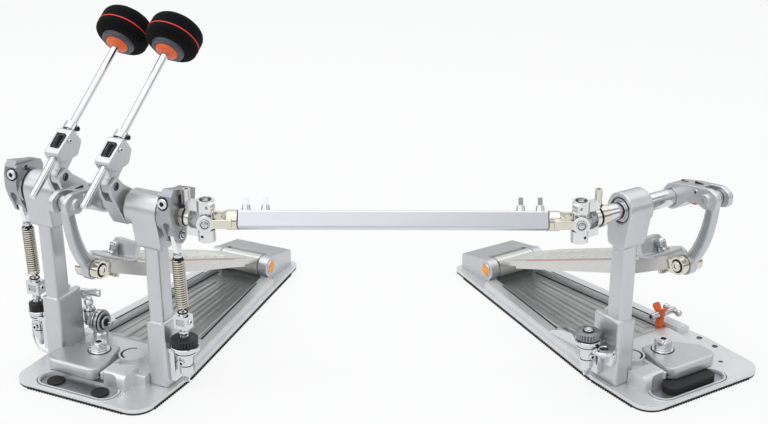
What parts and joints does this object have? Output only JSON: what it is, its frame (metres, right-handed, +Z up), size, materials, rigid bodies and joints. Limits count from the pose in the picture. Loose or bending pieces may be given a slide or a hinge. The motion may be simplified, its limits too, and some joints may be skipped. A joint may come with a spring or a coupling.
{
  "type": "double bass drum pedal",
  "caption": "Double bass drum pedal with direct-drive links: a main pedal with two beaters, and a second foot pedal that turns one of them through a telescopic shaft with universal joints.",
  "frame": {"origin": "on the floor under the middle of the main pedal's axle, on the underside of its rubber mat", "axes": "+X along the drive shaft from the main pedal to the second pedal, +Y away from the drum towards the player's heels, +Z up"},
  "size_m": [0.7927, 0.4023, 0.3764],
  "materials": {
    "rubber_mat": "matt, finely ribbed",
    "base_plate": "grey metallic, satin",
    "cast_aluminium": "silver metallic, satin",
    "footboard": "silver, fine blasted",
    "chrome": "bright",
    "nickel": "warm nickel, polished",
    "bearing_steel": "ground",
    "black_rubber": "matt",
    "black_knob": "black, knurled",
    "orange": "satin",
    "felt": "felt with a thin red stripe",
    "grey_plastic": "matt with an orange insert",
    "drive_aluminium": "satin anodised"
  },
  "bodies": {
    "frame": {"main_mat": "rubber_mat", "slave_mat": "rubber_mat", "main_base": "base_plate", "slave_base": "base_plate", "left_post": "cast_aluminium", "right_post": "cast_aluminium", "slave_post": "cast_aluminium", "bearings": "bearing_steel", "main_heel_plate": "cast_aluminium", "slave_heel_plate": "cast_aluminium", "hinge_pins": "bearing_steel", "hinge_caps": "orange", "hoop_pads": "black_rubber", "lock_brackets": "chrome", "slave_lock": "chrome", "adjuster_body": "chrome", "key_clip": "orange", "left_tension_rod": "chrome", "right_tension_rod": "chrome"},
    "left_spring": {"left_spring": "nickel"},
    "right_spring": {"right_spring": "nickel"},
    "main_hoop_jaw": {"main_jaw": "cast_aluminium", "main_hoop_bolt": "chrome"},
    "slave_hoop_jaw": {"slave_jaw": "cast_aluminium", "slave_hoop_bolt": "chrome"},
    "adjuster_wing": {"adjuster_wing": "chrome"},
    "stored_key": {"stored_key": "chrome"},
    "main_board": {"main_footboard": "footboard", "main_toe_stop": "cast_aluminium", "main_pivot_block": "nickel"},
    "main_link": {"main_link": "cast_aluminium"},
    "left_axle": {"left_axle": "chrome", "main_cam_arm": "cast_aluminium", "left_rocker": "cast_aluminium", "left_hub": "cast_aluminium", "left_hub_head": "cast_aluminium"},
    "left_beater": {"left_beater_shaft": "chrome", "left_beater_felt": "felt", "left_beater_core": "grey_plastic"},
    "right_axle": {"right_axle": "nickel", "right_rocker": "cast_aluminium", "right_hub": "cast_aluminium", "right_hub_head": "cast_aluminium"},
    "right_beater": {"right_beater_shaft": "chrome", "right_beater_felt": "felt", "right_beater_core": "grey_plastic"},
    "drive_shaft": {"drive_tube": "drive_aluminium", "drive_forks": "nickel", "key_bolts": "chrome"},
    "main_cross": {"main_cross": "nickel"},
    "slave_cross": {"slave_cross": "nickel"},
    "slave_axle": {"slave_axle": "nickel", "slave_cam_arm": "cast_aluminium"},
    "slave_board": {"slave_footboard": "footboard", "slave_toe_stop": "cast_aluminium", "slave_pivot_block": "nickel"},
    "slave_link": {"slave_link": "cast_aluminium"},
    "left_knob": {"left_knob": "black_knob"},
    "right_knob": {"right_knob": "black_knob"},
    "slave_knob": {"slave_knob": "black_knob"}
  },
  "joints": [
    {"name": "main_board_tilt", "type": "hinge", "parent": "frame", "child": "main_board", "pos_m": [0.11538, 0.24189, 0.024], "axis": [0.9026, -0.4305, 0], "range_deg": [0, 9.49], "stiffness_Nm_per_rad": 4, "springref_deg": -20.05},
    {"name": "left_axle_turn", "type": "hinge", "parent": "frame", "child": "left_axle", "pos_m": [0, 0, 0.202], "axis": [0.9026, -0.4305, 0], "range_deg": [0, 52], "deforming": ["left_spring"]},
    {"name": "main_link_swing", "type": "hinge", "parent": "main_board", "child": "main_link", "pos_m": [-0.00904, -0.01895, 0.133], "axis": [0.9026, -0.4305, 0], "range_deg": [-25.01, 0]},
    {"name": "slave_board_tilt", "type": "hinge", "parent": "frame", "child": "slave_board", "pos_m": [0.4464, 0.2396, 0.024], "axis": [0.8387, 0.5446, 0], "range_deg": [0, 9.49], "stiffness_Nm_per_rad": 4, "springref_deg": -20.05},
    {"name": "slave_axle_turn", "type": "hinge", "parent": "frame", "child": "slave_axle", "pos_m": [0.59236, 0.01484, 0.202], "axis": [0.8387, 0.5446, 0], "range_deg": [0, 52]},
    {"name": "slave_link_swing", "type": "hinge", "parent": "slave_board", "child": "slave_link", "pos_m": [0.6038, -0.00278, 0.133], "axis": [0.8387, 0.5446, 0], "range_deg": [-25.01, 0]},
    {"name": "drive_shaft_turn", "type": "hinge", "parent": "frame", "child": "drive_shaft", "pos_m": [0.11734, -0.05597, 0.202], "axis": [1, 0, 0], "range_deg": [0, 47.03]},
    {"name": "right_axle_turn", "type": "hinge", "parent": "frame", "child": "right_axle", "pos_m": [0, 0, 0.202], "axis": [0.9026, -0.4305, 0], "range_deg": [0, 49.94], "deforming": ["right_spring"]},
    {"name": "main_cross_swing", "type": "hinge", "parent": "drive_shaft", "child": "main_cross", "pos_m": [0.11734, -0.05597, 0.202], "axis": [0, 1, 0], "range_deg": [-19.24, 0]},
    {"name": "slave_cross_swing", "type": "hinge", "parent": "drive_shaft", "child": "slave_cross", "pos_m": [0.48334, -0.05597, 0.202], "axis": [0, 1, 0], "range_deg": [0, 25.42]},
    {"name": "left_beater_slide", "type": "slide", "parent": "left_axle", "child": "left_beater", "axis": [0.3438, 0.7208, 0.6018], "range_m": [0, 0.02]},
    {"name": "right_beater_slide", "type": "slide", "parent": "right_axle", "child": "right_beater", "axis": [0.3438, 0.7208, 0.6018], "range_m": [0, 0.02]},
    {"name": "left_knob_turn", "type": "hinge", "parent": "frame", "child": "left_knob", "pos_m": [-0.08575, 0.0409, 0.06], "axis": [0, 0, 1], "continuous": true},
    {"name": "right_knob_turn", "type": "hinge", "parent": "frame", "child": "right_knob", "pos_m": [0.08575, -0.0409, 0.06], "axis": [0, 0, 1], "continuous": true},
    {"name": "slave_knob_turn", "type": "hinge", "parent": "frame", "child": "slave_knob", "pos_m": [0.50397, -0.02348, 0.06], "axis": [0, 0, 1], "continuous": true},
    {"name": "main_jaw_lift", "type": "slide", "parent": "frame", "child": "main_hoop_jaw", "axis": [0, 0, 1], "range_m": [0, 0.004]},
    {"name": "slave_jaw_lift", "type": "slide", "parent": "frame", "child": "slave_hoop_jaw", "axis": [0, 0, 1], "range_m": [0, 0.004]},
    {"name": "adjuster_wing_turn", "type": "hinge", "parent": "frame", "child": "adjuster_wing", "pos_m": [-0.03414, 0.05617, 0.06], "axis": [0, 0, 1], "range_deg": [-60, 5]},
    {"name": "stored_key_slide", "type": "slide", "parent": "frame", "child": "stored_key", "axis": [0.8387, 0.5446, 0], "range_m": [0, 0.025]},
    {"name": "left_spring_swing", "type": "hinge", "parent": "left_axle", "child": "left_spring", "pos_m": [-0.08704, 0.03819, 0.182], "axis": [0.9026, -0.4305, 0], "range_deg": [-62.43, 0]},
    {"name": "right_spring_swing", "type": "hinge", "parent": "right_axle", "child": "right_spring", "pos_m": [0.08445, -0.04361, 0.182], "axis": [0.9026, -0.4305, 0], "range_deg": [-60.1, 0]}
  ],
  "couplings": [
    {"joint": "left_spring_swing", "follows": "main_board_tilt", "ratio": -6.5754},
    {"joint": "right_spring_swing", "follows": "slave_board_tilt", "ratio": -6.3292},
    {"joint": "left_axle_turn", "follows": "main_board_tilt", "ratio": 5.4767},
    {"joint": "main_link_swing", "follows": "main_board_tilt", "ratio": -2.6343},
    {"joint": "slave_axle_turn", "follows": "slave_board_tilt", "ratio": 5.4767},
    {"joint": "slave_link_swing", "follows": "slave_board_tilt", "ratio": -2.6343},
    {"joint": "drive_shaft_turn", "follows": "slave_board_tilt", "ratio": 4.9531},
    {"joint": "right_axle_turn", "follows": "slave_board_tilt", "ratio": 5.2599},
    {"joint": "main_cross_swing", "follows": "slave_board_tilt", "ratio": -2.0263},
    {"joint": "slave_cross_swing", "follows": "slave_board_tilt", "ratio": 2.6768}
  ]
}
